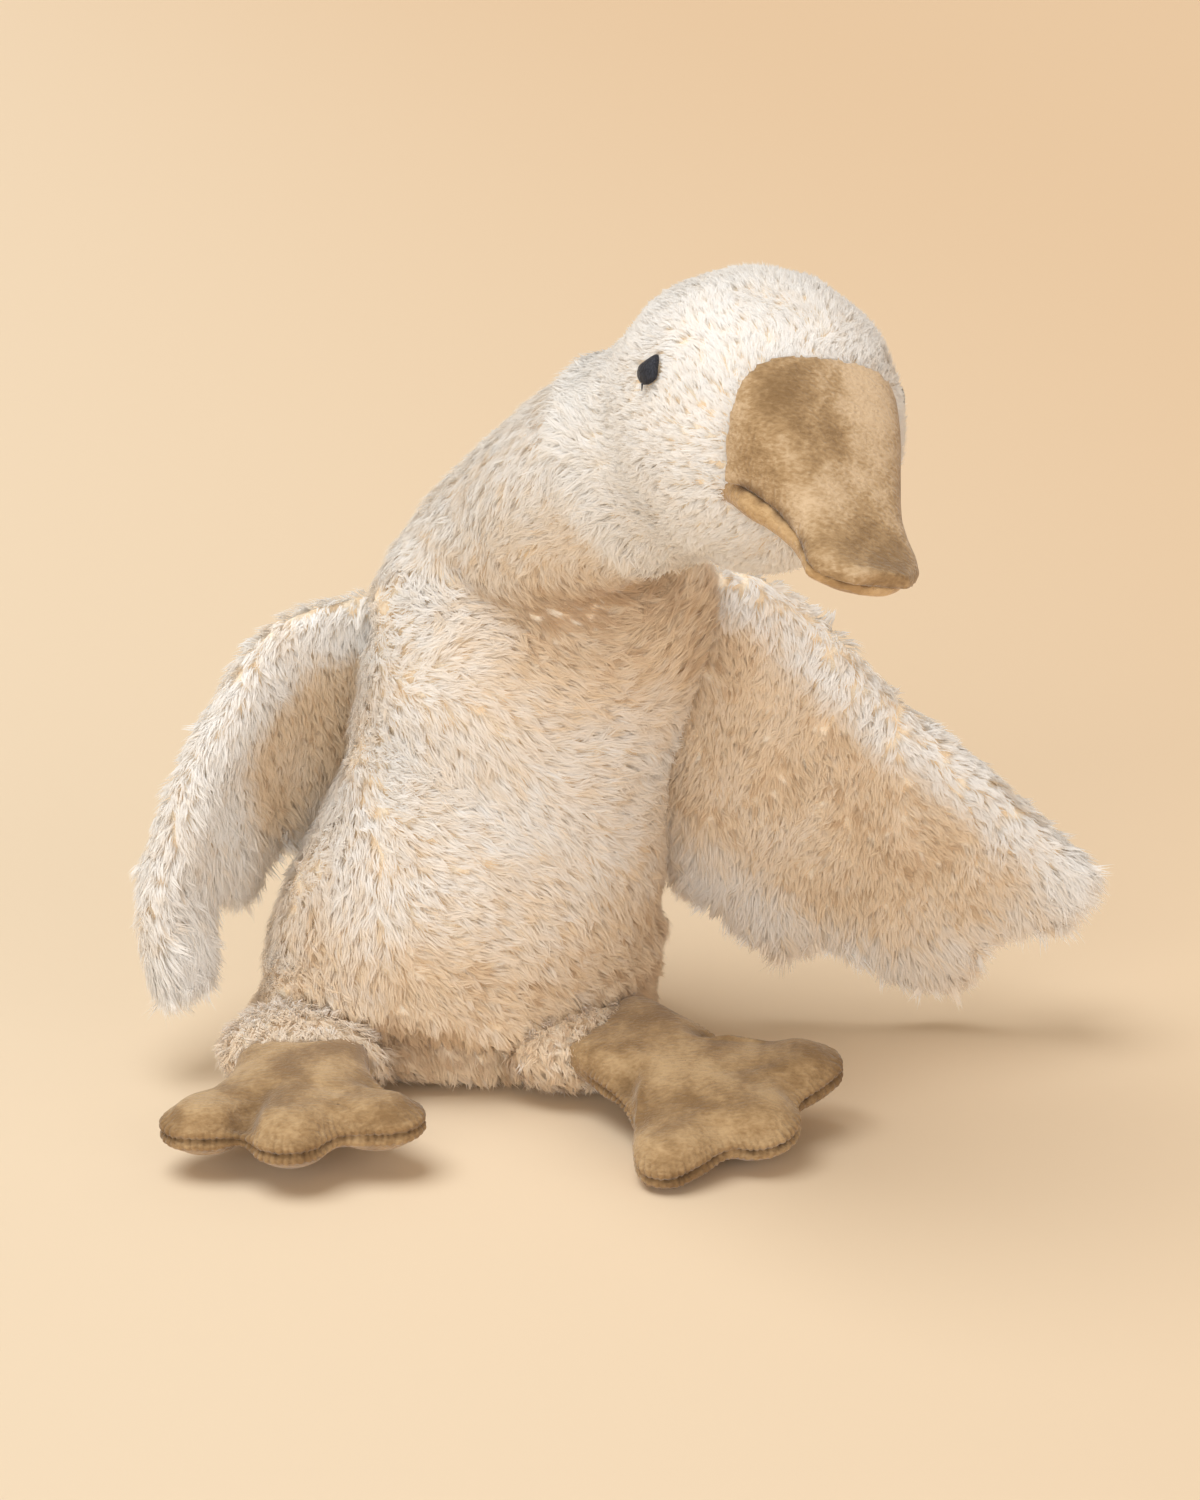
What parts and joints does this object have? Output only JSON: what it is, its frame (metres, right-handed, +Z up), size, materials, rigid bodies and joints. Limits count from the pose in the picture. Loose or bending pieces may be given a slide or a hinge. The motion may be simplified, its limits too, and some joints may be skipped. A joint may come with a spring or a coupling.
{
  "type": "plush goose",
  "caption": "Seated plush goose with a bent neck, a nodding velour bill, scalloped wings held out from its sides and webbed velour feet.",
  "frame": {"origin": "middle of the flat seat under the torso, on the plane the goose sits on", "axes": "+Z up; the torso faces -Y and the goose's own left is +X"},
  "size_m": [0.3198, 0.2359, 0.2834],
  "materials": {
    "plush": "cream long-pile plush",
    "velour": "mottled tan velour",
    "pale_velour": "pale tan velour",
    "foot_velour": "brown velour",
    "thread": "blue-black satin-stitch thread"
  },
  "bodies": {
    "root": {"body": "plush", "upper_beak": "velour", "lower_beak": "pale_velour", "right_eye": "thread", "left_eye": "thread", "right_wing": "plush", "left_wing": "plush", "right_leg": "plush", "left_leg": "plush", "right_foot": "foot_velour", "left_foot": "foot_velour"}
  },
  "joints": []
}
